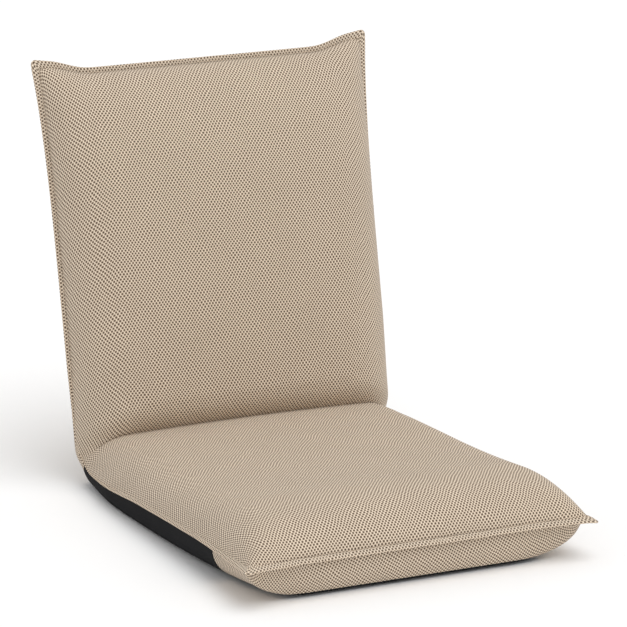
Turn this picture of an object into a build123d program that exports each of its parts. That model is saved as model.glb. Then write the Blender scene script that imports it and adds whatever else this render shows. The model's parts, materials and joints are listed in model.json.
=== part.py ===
from build123d import *
import math
import os

os.makedirs("parts", exist_ok=True)

# Folding floor chair: a seat cushion and a back cushion over two steel U frames, which meet in a
# ratchet hinge at each side. Millimetres. X runs across the chair, the seat points to -Y, Z is up.
# Every soft piece is drawn lying flat: s is the distance from the hinge axis along the seat or the
# back, n is the height over the frame plane. The back is then turned up about the hinge axis.

# ---------------------------------------------------------------- driving dimensions
HINGE_HEIGHT = 30.0          # hinge axis and seat frame plane over the floor
SEAT_BACK_ANGLE = 102.0      # between the seat plane and the back plane as shown
SEAT_LENGTH = 488.0          # hinge axis to front seam
BACK_LENGTH = 463.0          # hinge axis to top seam
FRAME_HALF = 178.0           # centre line to the middle of a side tube
SIDE_PAD = 27.0              # side tube to side seam at mid length
FRONT_PAD = 42.0             # front tube to front seam
TOP_PAD = 36.0               # top tube to top seam
CORNER_FLARE = 6.0           # how much wider the seam runs at the outer corners
FLARE_POWER = 6              # the higher, the later the seam and the lip widen

SEAT_CROWN = 52.0            # top of the seat over its seam
SEAT_FRONT_FALL = 74.0       # length over which the seat's crown falls to the front seam
BACK_CROWN = 60.0
BACK_TOP_FALL = 150.0
SIDE_FALL = 62.0             # width over which a crown falls to the side seam
END_TURN = (0, 26, 48, 66, 80, 90)   # degrees round an end's fall where sections stand
SWELL_OUT = 0.2              # a side arc passes this share of its way in from the seam
SWELL_UP = 0.66              # and has there reached this share of its height
SHOULDER = 0.88              # height of the crown where the side fall starts, as a share
FRONT_LIFT = 18.0            # how far the front seam rises over the frame plane
LIFT_LENGTH = 270.0
LIFT_STEPS = 3               # sections along that length before the end's fall
BACK_REAR_DEPTH = 26.0       # rear of the back cushion behind its seam
HEEL_LENGTH = 70.0           # length over which the rear depth grows to the heel's
UNDER_INSET = 9.0            # how far the flat underside stops short of the side seam
CORNER_ROUND = 5.7           # how many times more it does so at the outer corners
HEEL_ROUND = 15.0            # how much further it does so at the hinge
SEAT_UNDER_FALL = 32.0       # length over which the underside rises to the front seam
BACK_REAR_FALL = 80.0
SEAM_EDGE = 3.0              # height of a cushion half where it meets the end seam
INNER_EDGE = 0.75            # the least height there of a form drawn in by the cover

COVER = 2.2                  # thickness of the mesh cover
CLOTH = 1.6                  # thickness of the non-slip cloth under the seat
FOAM_GAP = 0.3               # foam to cover
PANEL_GAP = 0.3              # between neighbouring cover panels, and between foam pads
CLOTH_FRONT = 408.0          # front edge of the non-slip cloth on the centre line
CLOTH_EDGE_BOW = 26.0        # how far that edge runs back at the sides

FLANGE_THICK = 2.6           # double-stitched seam lip
FLANGE_WIDTH = 7.0           # lip beyond the end seam
FLANGE_SIDE = 5.5            # lip beyond the side seam
EAR = 8.0                    # corner tip beyond the side seam
EAR_REACH = 17.0             # corner tip beyond the end seam
EAR_ROUND = 7.0
FLANGE_START = 34.0          # lip starts this far from the hinge axis
LIP_TAPER = 110.0            # length over which it reaches its full width
LIP_STEPS = 9                # straight runs along each side of the lip
LIP_RISES = 6                # straight runs of the lip along the lifted length

TUBE_R = 8.0                 # frame tube
TUBE_WALL = 1.2
FRAME_CORNER = 62.0
TUBE_START = 46.0            # hinge axis to the open tube ends
TUBE_GAP = 0.5               # tube end to the rim of the hinge's side plates
BAR_R = 5.0                  # cross bar
BAR_PLACE = 96.0
WELD_GAP = 0.1
STRAP = 1.6                  # elastic strap round both side tubes
STRAP_WIDTH = 50.0
STRAP_GAP = 0.15
SEAT_STRAPS = 4
BACK_STRAPS = 4
STRAP_FIRST = 142.0          # hinge axis to the middle of the first strap
STRAP_END_CLEAR = 2.0        # last strap to the bend of the tube

PLATE = 2.3                  # hinge side plate
RATCHET = 5.0                # ratchet plate and pawl
SIDE_CLEAR = 0.2             # ratchet to side plate, each side
TOOTH_TIP_R = 21.0
TOOTH_ROOT_R = 18.6
TOOTH_PITCH = 7.8            # degrees
TOOTH_FLOOR = 2.0            # degrees of root between two teeth
TOOTH_LAND = 0.2             # flat tip of a tooth, as a share of the pitch
TOOTH_SINK = 1.0             # how deep a tooth starts inside the disc, and the nose in the pawl
BACK_SINK = 0.05             # how deep the sloped back of a tooth ends inside it
TOOTH_CLEAR = 0.25           # pawl nose to tooth
NOSE_ROOT = 0.62             # width of the pawl's nose at the pawl, as a share of the pitch
NOSE_TIP = 0.9               # and at its tip, as a share of the tooth floor
FULL_FOLD = 24.0             # seat plane to back plane when folded
FULL_FLAT = 180.0
LOWEST_CLICK = 70.0          # angle of the first tooth that the pawl can hold
PAWL_ANGLE = -80.0           # where the nose meets the ratchet, from the seat direction
HOUSING_R = 24.0             # round end of a side plate
PLATE_RIM = 4.0              # plate round a pin
TANG_HALF = 4.0              # half height of the plates inside the seat tube
BACK_TANG_HALF = 6.0
TANG_END = 82.0
SEAT_TANG_START = 29.0
PIVOT_R = 5.0
RUN_CLEAR = 0.05             # running clearance of a pivot
PIN_FIT = 0.02               # riveted pins in their plates
PIVOT_HEAD_R = 8.0
HEAD_HEIGHT = 2.2
PAWL_PIN = (24.0, -17.0)     # s and n of the pawl's pivot
PAWL_PIN_R = 2.5
PAWL_BOSS_R = 5.0
PAWL_TOE = (6.0, -21.8)
PAWL_TOE_R = 2.6
PAWL_LIFT = 8.0              # degrees
SPRING_POST = (42.0, -13.0)
SPRING_POST_R = 2.0
SPRING_THICK = 0.7
SPRING_KNEE = (31.0, -22.4)
SPRING_TOUCH = (10.0, -24.5)
PIN_HEAD_R = 4.0
RIVET_R = 2.0
RIVET_HEAD_R = 4.0
RIVET_HEAD = 1.6
RIVET_PLACE = 64.0           # hinge axis to the rivet through tube and tang
POCKET_CLEAR = 1.5           # foam to hinge
SLAB_CLEAR = 0.6             # foam to frame and straps

# ---------------------------------------------------------------- derived places
FLAT_TURN = 180.0 - SEAT_BACK_ANGLE
HINGE_AXIS = Axis((0, 0, HINGE_HEIGHT), (1, 0, 0))
TUBE_BORE = TUBE_R - TUBE_WALL
STRAP_OUT = TUBE_R + STRAP_GAP + STRAP
SLAB_HALF = STRAP_OUT + SLAB_CLEAR
CHEEK_IN = RATCHET / 2 + SIDE_CLEAR
CHEEK_OUT = CHEEK_IN + PLATE
CREASE_ANGLE = SEAT_BACK_ANGLE / 2
FAR = 2 * (SEAT_LENGTH + BACK_LENGTH)
HALF_WIDTH = FRAME_HALF + SIDE_PAD
SEAT_FRAME_END = SEAT_LENGTH - FRONT_PAD
BACK_FRAME_END = BACK_LENGTH - TOP_PAD
SIDES = {"left": 1, "right": -1}
SEAT = -1
BACK = 1

finished = {}


def keep(node, shape):
    finished[node] = shape


def upright(shape):
    return shape.rotate(HINGE_AXIS, FLAT_TURN)


def strap_places(frame_end, count):
    last = frame_end - FRAME_CORNER - STRAP_END_CLEAR - STRAP_WIDTH / 2
    return [STRAP_FIRST + (last - STRAP_FIRST) * k / (count - 1) for k in range(count)]


# ---------------------------------------------------------------- cushion forms
def seam_half(s, length):
    return HALF_WIDTH + CORNER_FLARE * max(s / length, 0) ** FLARE_POWER


def seam_lift(s, lift):
    run = max(s - (SEAT_LENGTH - LIFT_LENGTH), 0) / LIFT_LENGTH
    return lift * run ** 2


def fall(s, length, run):
    t = min(max((s - (length - run)) / run, 0), 1)
    return math.sqrt(1 - t ** 2)


def stations(length, run):
    """Where a cushion's sections stand. Both of its halves use the same ones, so they meet."""
    heel_part = [0, HEEL_LENGTH / 2, HEEL_LENGTH]
    fall_start = length - run
    lift_start = SEAT_LENGTH - LIFT_LENGTH
    lift_part = [lift_start + (fall_start - lift_start) * k / LIFT_STEPS for k in range(LIFT_STEPS)]
    turned = [fall_start + run * math.sin(math.radians(a)) for a in END_TURN]
    return heel_part + lift_part + turned


def section_plane(s, n, way):
    return Plane(origin=(0, way * s, HINGE_HEIGHT + n), x_dir=(1, 0, 0), z_dir=(0, -1, 0))


def crown_section(s, n, half, height, base, way):
    """Crowned cross-section over the seam plane. A base under 0 carries it on below the seam."""
    shoulder = SHOULDER * height
    swell = (SWELL_OUT * SIDE_FALL, SWELL_UP * shoulder)
    foot = max(base, 0)
    with BuildSketch(section_plane(s, n, way)) as sketch:
        with BuildLine():
            ThreePointArc((-half, foot), (-half + swell[0], swell[1]), (-half + SIDE_FALL, shoulder))
            ThreePointArc((-half + SIDE_FALL, shoulder), (0, height), (half - SIDE_FALL, shoulder))
            ThreePointArc((half - SIDE_FALL, shoulder), (half - swell[0], swell[1]), (half, foot))
            close_base(half, foot, base)
        make_face()
    return sketch.sketch


def under_section(s, n, half, depth, inset, base, way):
    """Flat-bottomed cross-section under the seam plane. A base under 0 carries it on above."""
    tangent_r = (inset ** 2 + depth ** 2) / (2 * depth)
    tangent_n = depth - tangent_r + math.sqrt(tangent_r ** 2 - ((1 - SWELL_OUT) * inset) ** 2)
    swell = (SWELL_OUT * inset, min(SWELL_UP * depth, tangent_n))
    foot = max(base, 0)
    with BuildSketch(section_plane(s, n, way)) as sketch:
        with BuildLine():
            ThreePointArc((-half, -foot), (-half + swell[0], -swell[1]), (-half + inset, -depth))
            Line((-half + inset, -depth), (half - inset, -depth))
            ThreePointArc((half - inset, -depth), (half - swell[0], -swell[1]), (half, -foot))
            close_base(half, -foot, -base)
        make_face()
    return sketch.sketch


def close_base(half, foot, base):
    if foot != base:
        Polyline((half, foot), (half, base), (-half, base), (-half, foot))
    else:
        Line((half, foot), (-half, foot))


def crowned(length, run, crown, lift, skin, base, way):
    """The sitter's side of a cushion, drawn in from its outer form by skin."""
    faces = []
    for s in stations(length, run):
        height = SEAM_EDGE + (crown - SEAM_EDGE) * fall(s, length, run)
        height = max(height - skin, INNER_EDGE)
        faces.append(crown_section(s - skin * s / length, seam_lift(s, lift),
                                   seam_half(s, length) - skin, height, base, way))
    return loft(faces, ruled=True)


def under_depth(s, length, run, depth, lift):
    full = depth + (HINGE_HEIGHT - depth) * max(1 - s / HEEL_LENGTH, 0) ** 2
    at_seam = SEAM_EDGE - lift
    return at_seam + (full - at_seam) * fall(s, length, run) + seam_lift(s, lift)


def under_inset(s, length):
    at_hinge = HEEL_ROUND * max(1 - s / HEEL_LENGTH, 0) ** 2
    return UNDER_INSET * (1 + CORNER_ROUND * (s / length) ** 3) + at_hinge


def under(length, run, end_run, depth, lift, skin, base, way):
    """The floor side of the seat, or the rear side of the back."""
    faces = []
    for s in stations(length, run):
        drop = max(under_depth(s, length, end_run, depth, lift) - skin, INNER_EDGE)
        inset = under_inset(s, length) * drop / (HINGE_HEIGHT - skin)
        faces.append(under_section(s - skin * s / length, seam_lift(s, lift),
                                   seam_half(s, length) - skin, drop, inset, base, way))
    return loft(faces, ruled=True)


def seat_upper(skin, base):
    return crowned(SEAT_LENGTH, SEAT_FRONT_FALL, SEAT_CROWN, FRONT_LIFT, skin, base, SEAT)


def seat_under(skin, base):
    return under(SEAT_LENGTH, SEAT_FRONT_FALL, SEAT_UNDER_FALL, HINGE_HEIGHT, FRONT_LIFT, skin, base, SEAT)


def back_upper(skin, base):
    return crowned(BACK_LENGTH, BACK_TOP_FALL, BACK_CROWN, 0, skin, base, BACK)


def back_under(skin, base):
    return under(BACK_LENGTH, BACK_TOP_FALL, BACK_REAR_FALL, BACK_REAR_DEPTH, 0, skin, base, BACK)


def slab_room(end, way):
    """The flat room inside the foam that holds the frame and the straps."""
    long = end + SLAB_HALF
    half = FRAME_HALF + SLAB_HALF
    room = Box(2 * half, long, 2 * SLAB_HALF)
    room = fillet(room.edges().filter_by(Axis.Z), FRAME_CORNER + SLAB_HALF)
    square = Pos(0, -way * long / 4, 0) * Box(2 * half, long / 2, 2 * SLAB_HALF)
    return Pos(0, way * long / 2, HINGE_HEIGHT) * (room + square)


def wedge(low, high):
    """The prism between two angles about the hinge axis, counted up from the seat plane."""
    with BuildSketch(Plane.YZ) as sketch:
        with BuildLine():
            Polyline((0, HINGE_HEIGHT), ray(low), ray((low + high) / 2), ray(high), close=True)
        make_face()
    return extrude(sketch.sketch, amount=FAR / 2, both=True)


def ray(angle):
    turn = math.radians(angle)
    return (-FAR * math.cos(turn), HINGE_HEIGHT + FAR * math.sin(turn))


def crease_slot():
    slot = Pos(0, -FAR / 2, HINGE_HEIGHT) * Box(FAR, FAR, PANEL_GAP)
    return slot.rotate(HINGE_AXIS, -CREASE_ANGLE)


# ---------------------------------------------------------------- frames
def u_frame(end, way):
    half = FRAME_HALF
    path = FilletPolyline((-half, way * TUBE_START, HINGE_HEIGHT), (-half, way * end, HINGE_HEIGHT),
                          (half, way * end, HINGE_HEIGHT), (half, way * TUBE_START, HINGE_HEIGHT),
                          radius=FRAME_CORNER)
    start = Plane(origin=(-half, way * TUBE_START, HINGE_HEIGHT), z_dir=(0, way, 0))
    outer = sweep(start * Circle(TUBE_R), path=path)
    inner = sweep(start * Circle(TUBE_BORE), path=path)
    return outer - inner - rivet_holes(way)


def cross_bar(place, way):
    bar = Pos(0, way * place, HINGE_HEIGHT) * Rot(0, 90, 0) * Cylinder(BAR_R, 2 * FRAME_HALF)
    bore = Pos(0, way * place, HINGE_HEIGHT) * Rot(0, 90, 0) * Cylinder(BAR_R - TUBE_WALL, 2 * FRAME_HALF)
    for side in SIDES.values():
        tube = Pos(side * FRAME_HALF, way * place, HINGE_HEIGHT) * Rot(90, 0, 0)
        bar -= tube * Cylinder(TUBE_R + WELD_GAP, 4 * BAR_R)
    return bar - bore


def strap(place, way):
    with BuildSketch(section_plane(place, 0, way)) as sketch:
        SlotCenterToCenter(2 * FRAME_HALF, 2 * STRAP_OUT)
        SlotCenterToCenter(2 * FRAME_HALF, 2 * (STRAP_OUT - STRAP), mode=Mode.SUBTRACT)
    return extrude(sketch.sketch, amount=STRAP_WIDTH / 2, both=True)


def rivet_line(way, radius, half_length):
    spots = [Pos(side * FRAME_HALF, way * RIVET_PLACE, HINGE_HEIGHT) for side in SIDES.values()]
    return [spot * Rot(0, 90, 0) * Cylinder(radius, 2 * half_length) for spot in spots]


def rivet_holes(way):
    return Compound(rivet_line(way, RIVET_R + PIN_FIT, 2 * TUBE_R))


def tube_rivets(way):
    """Flat-head rivets that hold the hinge tangs in the tubes, one at each side."""
    rivets = []
    under_head = TUBE_R + PIN_FIT
    for rivet in rivet_line(way, RIVET_R, under_head):
        centre = rivet.center()
        for side in SIDES.values():
            head = Pos(centre.X + side * (under_head + RIVET_HEAD / 2), centre.Y, centre.Z)
            rivet += head * Rot(0, 90, 0) * Cylinder(RIVET_HEAD_R, RIVET_HEAD)
        rivets.append(rivet)
    return Compound(rivets)


# ---------------------------------------------------------------- ratchet hinges
def side_plane(side):
    """Sketch plane across a hinge: local x is s along the seat, local y is n."""
    return Plane(origin=(side * FRAME_HALF, 0, HINGE_HEIGHT), x_dir=(0, -1, 0), z_dir=(-1, 0, 0))


def across(sketch, low, high, side):
    """Extrude a hinge sketch over a span of X, counted outwards from the tube's centre line."""
    solid = extrude(side_plane(side) * sketch, amount=(high - low) / 2, both=True)
    return solid.moved(Location((side * (low + high) / 2, 0, 0)))


def disc(place, radius):
    return Pos(*place) * Circle(radius)


def bar_shape(start, end, half):
    return Pos((start + end) / 2, 0) * Rectangle(end - start, 2 * half)


def rivet_dot():
    return disc((RIVET_PLACE, 0), RIVET_R + PIN_FIT)


def housing(extra, more=()):
    """Outline round the ratchet, the pawl pin, the spring post and the root of the tang."""
    lobes = [disc((0, 0), HOUSING_R + extra), disc(PAWL_PIN, PAWL_BOSS_R + PLATE_RIM + extra),
             disc(SPRING_POST, SPRING_POST_R + PLATE_RIM + extra),
             disc((TUBE_START - TUBE_R, 0), TANG_HALF + extra), *more]
    return make_hull([edge for lobe in lobes for edge in lobe.edges()])


def plate_outline():
    behind_tube = Pos(TUBE_START - TUBE_GAP - FAR / 2, 0) * Rectangle(FAR, FAR)
    return (housing(0) & behind_tube) + bar_shape(TUBE_START - TUBE_R, TANG_END, TANG_HALF)


def side_plate(side, inner):
    outline = plate_outline() - disc((0, 0), PIVOT_R + PIN_FIT) - disc(PAWL_PIN, PAWL_PIN_R + PIN_FIT)
    outline = outline - disc(SPRING_POST, SPRING_POST_R + PIN_FIT) - rivet_dot()
    if inner:
        return across(outline, -CHEEK_OUT, -CHEEK_IN, side)
    return across(outline, CHEEK_IN, CHEEK_OUT, side)


def seat_tang(side):
    outline = bar_shape(SEAT_TANG_START, TANG_END, TANG_HALF) - rivet_dot()
    return across(outline, -CHEEK_IN, CHEEK_IN, side)


def polar(radius, angle):
    turn = math.radians(angle)
    return (radius * math.cos(turn), radius * math.sin(turn))


def ratchet_outline():
    """Toothed disc in the seat's plane for the angle shown, without its tang."""
    first = PAWL_ANGLE - round((SEAT_BACK_ANGLE - LOWEST_CLICK) / TOOTH_PITCH) * -TOOTH_PITCH
    teeth = round((FULL_FLAT - LOWEST_CLICK) / TOOTH_PITCH) + 1
    outline = Circle(TOOTH_ROOT_R)
    for k in range(teeth):
        face = first - TOOTH_PITCH * k
        with BuildSketch() as tooth:
            with BuildLine():
                Polyline(polar(TOOTH_ROOT_R - TOOTH_SINK, face), polar(TOOTH_TIP_R, face),
                         polar(TOOTH_TIP_R, face - TOOTH_LAND * TOOTH_PITCH),
                         polar(TOOTH_ROOT_R - BACK_SINK, face - TOOTH_PITCH + TOOTH_FLOOR),
                         polar(TOOTH_ROOT_R - TOOTH_SINK, face - TOOTH_PITCH + TOOTH_FLOOR), close=True)
            make_face()
        outline += tooth.sketch
    return outline


def ratchet_plate(side):
    """Ratchet disc with its tang, built where the back stands."""
    tang = bar_shape(0, TANG_END, BACK_TANG_HALF) - rivet_dot()
    tang = tang.rotate(Axis.Z, SEAT_BACK_ANGLE)
    outline = ratchet_outline() + tang - disc((0, 0), PIVOT_R + RUN_CLEAR)
    return across(outline, -RATCHET / 2, RATCHET / 2, side)


def pawl(side):
    arm = make_hull(disc(PAWL_PIN, PAWL_BOSS_R).edges() + disc(PAWL_TOE, PAWL_TOE_R).edges())
    arm -= Circle(TOOTH_TIP_R + TOOTH_CLEAR)
    step = math.degrees(TOOTH_CLEAR / TOOTH_TIP_R)
    with BuildSketch() as nose:
        with BuildLine():
            Polyline(polar(TOOTH_ROOT_R + TOOTH_CLEAR, PAWL_ANGLE + step),
                     polar(TOOTH_TIP_R + TOOTH_SINK, PAWL_ANGLE + step),
                     polar(TOOTH_TIP_R + TOOTH_SINK, PAWL_ANGLE + NOSE_ROOT * TOOTH_PITCH),
                     polar(TOOTH_ROOT_R + TOOTH_CLEAR, PAWL_ANGLE + NOSE_TIP * TOOTH_FLOOR), close=True)
        make_face()
    outline = arm + nose.sketch - disc(PAWL_PIN, PAWL_PIN_R + RUN_CLEAR)
    return across(outline, -RATCHET / 2, RATCHET / 2, side)


def headed_pin(place, radius, head_r, side):
    shank = across(disc(place, radius), -CHEEK_OUT, CHEEK_OUT, side)
    outer = across(disc(place, head_r), CHEEK_OUT, CHEEK_OUT + HEAD_HEIGHT, side)
    inner = across(disc(place, head_r), -CHEEK_OUT - HEAD_HEIGHT, -CHEEK_OUT, side)
    return shank + outer + inner


def pawl_spring(side):
    """Leaf spring from the eye on its post to the underside of the pawl."""
    eye_r = SPRING_POST_R + PIN_FIT
    eye = disc(SPRING_POST, eye_r + SPRING_THICK) - disc(SPRING_POST, eye_r)
    foot = (SPRING_POST[0], SPRING_POST[1] - eye_r - SPRING_THICK / 2)
    with BuildSketch() as leaf:
        with BuildLine():
            Polyline(foot, SPRING_KNEE, SPRING_TOUCH)
        trace(line_width=SPRING_THICK)
    return across(eye + leaf.sketch, -RATCHET / 2, RATCHET / 2, side)


def hinge_room(side):
    """Pocket in the foam round one hinge, with room for the lifted pawl."""
    half = CHEEK_OUT + HEAD_HEIGHT + POCKET_CLEAR
    arm = Vector(PAWL_TOE[0] - PAWL_PIN[0], PAWL_TOE[1] - PAWL_PIN[1]).rotate(Axis.Z, PAWL_LIFT)
    toe = (PAWL_PIN[0] + arm.X, PAWL_PIN[1] + arm.Y)
    lifted = disc(toe, PAWL_TOE_R + POCKET_CLEAR)
    return across(housing(POCKET_CLEAR, [lifted]), -half, half, side)


# ---------------------------------------------------------------- cushions, covers, seam lips
def hinge_rooms():
    return Compound([hinge_room(side) for side in SIDES.values()])


def lip(length, lift, way, cushions):
    """Flat double-stitched lip along the side and end seams, with an ear at each corner."""
    tip = (HALF_WIDTH + CORNER_FLARE + EAR, way * (length + EAR_REACH))
    places = [FLANGE_START + (length - FLANGE_START) * k / LIP_STEPS for k in range(LIP_STEPS)]
    side_line = [(lip_half(s, length), way * s) for s in places]
    other_side = [(-x, y) for x, y in reversed(side_line)]
    with BuildSketch() as plan:
        with BuildLine():
            Polyline(*side_line, tip)
            ThreePointArc(tip, (0, way * (length + FLANGE_WIDTH)), (-tip[0], tip[1]))
            Polyline((-tip[0], tip[1]), *other_side, side_line[0])
        make_face()
        corners = plan.vertices().sort_by(Axis.Y)
        fillet(corners[:2] if way < 0 else corners[-2:], EAR_ROUND)
    plate = extrude(plan.sketch, amount=2 * HINGE_HEIGHT + SEAT_CROWN)
    steps = [length - LIFT_LENGTH * (1 - k / LIP_RISES) for k in range(LIP_RISES + 1)]
    steps.append(length + 2 * EAR_REACH)
    line = [(0, 0)] + [(s, seam_lift(min(s, length), lift)) for s in steps]
    top = [(way * s, HINGE_HEIGHT + n + FLANGE_THICK / 2) for s, n in line]
    bottom = [(way * s, HINGE_HEIGHT + n - FLANGE_THICK / 2) for s, n in line]
    with BuildSketch(Plane.YZ) as band:
        with BuildLine():
            Polyline(*top, *reversed(bottom), close=True)
        make_face()
    ring = plate & extrude(band.sketch, amount=FAR / 2, both=True)
    for cushion in cushions:
        ring -= cushion
    return biggest(ring)


def lip_half(s, length):
    """Half width of the lip: a narrow start at the hinge, then growing into the ear."""
    start = FLANGE_SIDE * min((s - FLANGE_START) / LIP_TAPER, 1)
    return seam_half(s, length) + start + (EAR - FLANGE_SIDE) * (s / length) ** FLARE_POWER


def biggest(shape):
    return max(shape.solids(), key=lambda solid: solid.volume)


def cloth_area():
    """Plan area of the non-slip cloth, with its bowed front edge."""
    back = HINGE_HEIGHT
    side = HALF_WIDTH + CORNER_FLARE + EAR
    with BuildSketch() as plan:
        with BuildLine():
            Polyline((-side, -CLOTH_FRONT + CLOTH_EDGE_BOW), (-side, back), (side, back),
                     (side, -CLOTH_FRONT + CLOTH_EDGE_BOW))
            ThreePointArc((side, -CLOTH_FRONT + CLOTH_EDGE_BOW), (0, -CLOTH_FRONT),
                          (-side, -CLOTH_FRONT + CLOTH_EDGE_BOW))
        make_face()
    return extrude(plan.sketch, amount=2 * HINGE_HEIGHT, both=True)


def front_area():
    """Everything in front of the cloth's edge, less a seam's gap."""
    whole = Pos(0, -FAR / 4, HINGE_HEIGHT) * Box(FAR, FAR / 2, 4 * HINGE_HEIGHT)
    return whole - Pos(0, -PANEL_GAP, 0) * cloth_area()


def past(gap, way):
    """Keeps what lies further than gap from the hinge axis along s."""
    return Pos(0, way * (gap + FAR / 2), HINGE_HEIGHT) * Box(FAR, FAR, FAR)


def heel(skin, depth_skin):
    """The cushion's under section at the hinge, turned about the hinge axis from seat to back."""
    half = seam_half(0, SEAT_LENGTH) - skin
    depth = HINGE_HEIGHT - depth_skin
    inset = under_inset(0, SEAT_LENGTH) * depth / HINGE_HEIGHT
    profile = under_section(0, 0, half, depth, inset, 0, SEAT)
    return revolve(profile, axis=HINGE_AXIS, revolution_arc=FLAT_TURN)


# ---------------------------------------------------------------- seat body
keep("seat_frame_tube", u_frame(SEAT_FRAME_END, SEAT))
keep("seat_cross_bar", cross_bar(BAR_PLACE, SEAT))
for number, place in enumerate(strap_places(SEAT_FRAME_END, SEAT_STRAPS), 1):
    keep(f"seat_strap_{number}", strap(place, SEAT))
keep("seat_tube_rivets", tube_rivets(SEAT))
for name, side in SIDES.items():
    keep(f"hinge_outer_plate_{name}", side_plate(side, False))
    keep(f"hinge_inner_plate_{name}", side_plate(side, True))
    keep(f"hinge_seat_tang_{name}", seat_tang(side))
    keep(f"hinge_pivot_{name}", headed_pin((0, 0), PIVOT_R, PIVOT_HEAD_R, side))
    keep(f"pawl_pin_{name}", headed_pin(PAWL_PIN, PAWL_PIN_R, PIN_HEAD_R, side))
    keep(f"spring_post_{name}", headed_pin(SPRING_POST, SPRING_POST_R, PIN_HEAD_R, side))
    keep(f"pawl_spring_{name}", pawl_spring(side))
    keep(f"pawl_{name}", pawl(side))
    keep(f"ratchet_plate_{name}", ratchet_plate(side))

rooms = hinge_rooms()
seat_room = slab_room(SEAT_FRAME_END, SEAT)
below_crease = wedge(0, CREASE_ANGLE)
slot = crease_slot()
half_gap = PANEL_GAP / 2
seat_bottom = seat_under(0, 0)
top_shell = seat_upper(0, 0) - seat_upper(COVER, -SEAM_EDGE)
keep("seat_top_cover", biggest((top_shell & below_crease) - slot))
top_foam = (seat_upper(COVER + FOAM_GAP, half_gap) & below_crease) - slot
keep("seat_foam_upper", biggest(top_foam - seat_room - rooms))
cloth_shell = seat_bottom - seat_under(CLOTH, -SEAM_EDGE)
keep("seat_base_cloth", biggest(cloth_shell & cloth_area() & past(half_gap, SEAT)))
wrap_shell = seat_bottom - seat_under(COVER, -SEAM_EDGE)
keep("seat_front_wrap", biggest(wrap_shell & front_area()))
low_foam = seat_under(COVER + FOAM_GAP, half_gap) & past(half_gap, SEAT)
keep("seat_foam_lower", biggest(low_foam - seat_room - rooms))
seat_core = [seat_upper(0, -SEAM_EDGE), seat_under(0, -SEAM_EDGE)]
keep("seat_seam_lip", lip(SEAT_LENGTH, FRONT_LIFT, SEAT, seat_core))

# ---------------------------------------------------------------- backrest body
keep("back_frame_tube", upright(u_frame(BACK_FRAME_END, BACK)))
keep("back_cross_bar", upright(cross_bar(BAR_PLACE, BACK)))
for number, place in enumerate(strap_places(BACK_FRAME_END, BACK_STRAPS), 1):
    keep(f"back_strap_{number}", upright(strap(place, BACK)))
keep("back_tube_rivets", upright(tube_rivets(BACK)))
back_room = upright(slab_room(BACK_FRAME_END, BACK))
above_crease = wedge(CREASE_ANGLE, SEAT_BACK_ANGLE)
back_past = upright(past(half_gap, BACK))
front_shell = upright(back_upper(0, 0) - back_upper(COVER, -SEAM_EDGE))
keep("back_front_cover", biggest((front_shell & above_crease) - slot))
front_foam = (upright(back_upper(COVER + FOAM_GAP, half_gap)) & above_crease) - slot
keep("back_foam_front", biggest(front_foam - back_room - rooms))
rear_shell = upright(back_under(0, 0) - back_under(COVER, -SEAM_EDGE))
keep("back_rear_cover", biggest(rear_shell & back_past))
rear_foam = upright(back_under(COVER + FOAM_GAP, half_gap)) & back_past
keep("back_foam_rear", biggest(rear_foam - back_room - rooms))
back_core = [back_upper(0, -SEAM_EDGE), back_under(0, -SEAM_EDGE)]
keep("back_seam_lip", upright(lip(BACK_LENGTH, 0, BACK, back_core)))
keep("heel_cover", heel(0, 0) - heel(COVER, COVER))
heel_pad = heel(COVER + FOAM_GAP, COVER + FOAM_GAP)
keep("heel_foam", biggest(heel_pad - seat_room - back_room - rooms))

# ---------------------------------------------------------------- origin under the middle of the part
boxes = [shape.bounding_box() for shape in finished.values()]
middle = (min(box.min.Y for box in boxes) + max(box.max.Y for box in boxes)) / 2
floor = min(box.min.Z for box in boxes)
for node, shape in finished.items():
    export_step(shape.moved(Location((0, -middle, -floor))), f"parts/{node}.step")
print("hinge axis y", round(-middle, 4), "z", round(HINGE_HEIGHT - floor, 4))
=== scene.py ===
# %% [markdown]
# A legless folding floor chair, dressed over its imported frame. The frame already holds the steel
# tubes, straps, foam and ratchet hinges at their real size. Here the soft outside is made: one long
# crowned cover over seat and back, the stitched lip along its seams, the wrap under the front edge
# and the black non-slip cloth of the underside, and then the finishes, the light and the camera.

# %% Load the frame
import json
import math

import bmesh
import bpy
from mathutils import Matrix, Vector

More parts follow.
